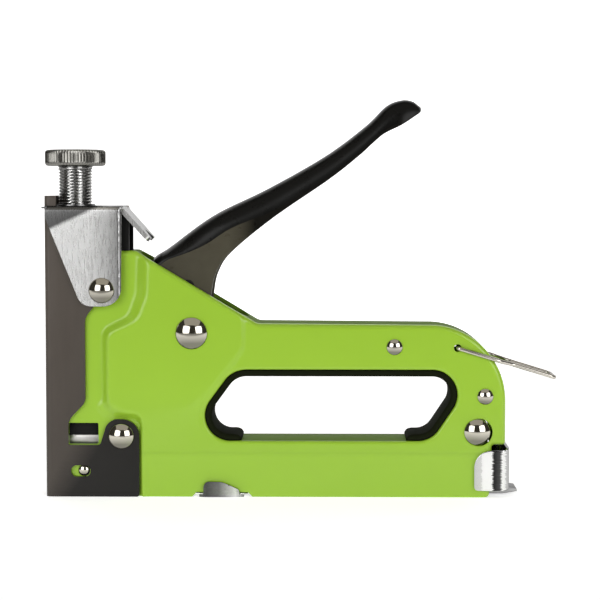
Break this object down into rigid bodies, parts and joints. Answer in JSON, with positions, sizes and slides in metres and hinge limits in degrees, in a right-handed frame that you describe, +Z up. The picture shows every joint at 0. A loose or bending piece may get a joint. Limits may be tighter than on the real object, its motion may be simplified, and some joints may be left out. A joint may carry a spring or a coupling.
{
  "type": "staple gun",
  "caption": "Hand staple gun with pressed green shells, black sprung handle, tension screw, bottom magazine with pull-out pusher and a wire handle lock.",
  "frame": {"origin": "on the base at the front face of the nose, on the plane where the two shells meet", "axes": "+X from the nose to the rear, +Y to the tool's left side seen from the rear, +Z up"},
  "size_m": [0.1687, 0.0264, 0.1304],
  "materials": {
    "green_paint": "gloss",
    "black_paint": "satin",
    "nose_paint": "satin",
    "nickel": "brushed plating",
    "rivet_chrome": "polished plating",
    "steel": "ground",
    "spring_steel": "drawn wire",
    "trim_plastic": "moulded",
    "rubber": "moulded"
  },
  "bodies": {
    "body": {"left_shell": "green_paint", "right_shell": "green_paint", "nose_cover": "nose_paint", "top_bracket": "nickel", "inner_frame": "black_paint", "bumper": "rubber", "pivot_sleeve": "steel", "magazine_channel": "nickel", "magazine_pins": "rivet_chrome", "grip_trim": "trim_plastic", "spacer_sleeves": "steel", "pivot_rivet": "rivet_chrome", "bracket_rivet": "rivet_chrome", "nose_rivet": "rivet_chrome", "rear_rivet": "rivet_chrome", "grip_rivets": "rivet_chrome", "main_spring": "spring_steel", "return_spring": "spring_steel"},
    "lever": {"handle": "black_paint", "lift_arm": "steel", "lever_pin": "steel"},
    "striker": {"plunger": "steel", "driver_blade": "steel"},
    "seat": {"spring_seat": "steel"},
    "screw": {"tension_screw": "nickel"},
    "magazine": {"guide_rod": "steel", "end_cap": "nickel", "pusher_spring": "spring_steel"},
    "feeder": {"pusher": "nickel"},
    "lock": {"lock_wire": "steel"}
  },
  "joints": [
    {"name": "handle_squeeze", "type": "hinge", "parent": "body", "child": "lever", "pos_m": [0.0482, 0, 0.0541], "axis": [0, 1, 0], "range_deg": [0, 35], "stiffness_Nm_per_rad": 0.2, "springref_deg": -28.65, "deforming": ["return_spring", "main_spring"]},
    {"name": "plunger_lift", "type": "slide", "parent": "body", "child": "striker", "axis": [0, 0, 1], "range_m": [0, 0.0162], "stiffness_N_per_m": 800, "springref_m": -0.004, "deforming": ["main_spring"]},
    {"name": "tension_travel", "type": "slide", "parent": "body", "child": "seat", "axis": [0, 0, 1], "range_m": [-0.005, 0.004], "deforming": ["main_spring"]},
    {"name": "tension_turn", "type": "hinge", "parent": "seat", "child": "screw", "pos_m": [0.0092, 0, 0.1], "axis": [0, 0, 1], "range_deg": [-1802, 1442]},
    {"name": "magazine_slide", "type": "slide", "parent": "body", "child": "magazine", "axis": [1, 0, 0], "range_m": [0, 0.11]},
    {"name": "pusher_slide", "type": "slide", "parent": "magazine", "child": "feeder", "axis": [1, 0, 0], "range_m": [0, 0.105], "stiffness_N_per_m": 20, "springref_m": -0.03, "deforming": ["pusher_spring"]},
    {"name": "lock_swing", "type": "hinge", "parent": "body", "child": "lock", "pos_m": [0.1352, 0, 0.0493], "axis": [0, -1, 0], "range_deg": [0, 85]}
  ],
  "couplings": [
    {"joint": "plunger_lift", "follows": "handle_squeeze", "m_per_rad": 0.026145},
    {"joint": "tension_turn", "follows": "tension_travel", "rad_per_m": 6283.2}
  ]
}
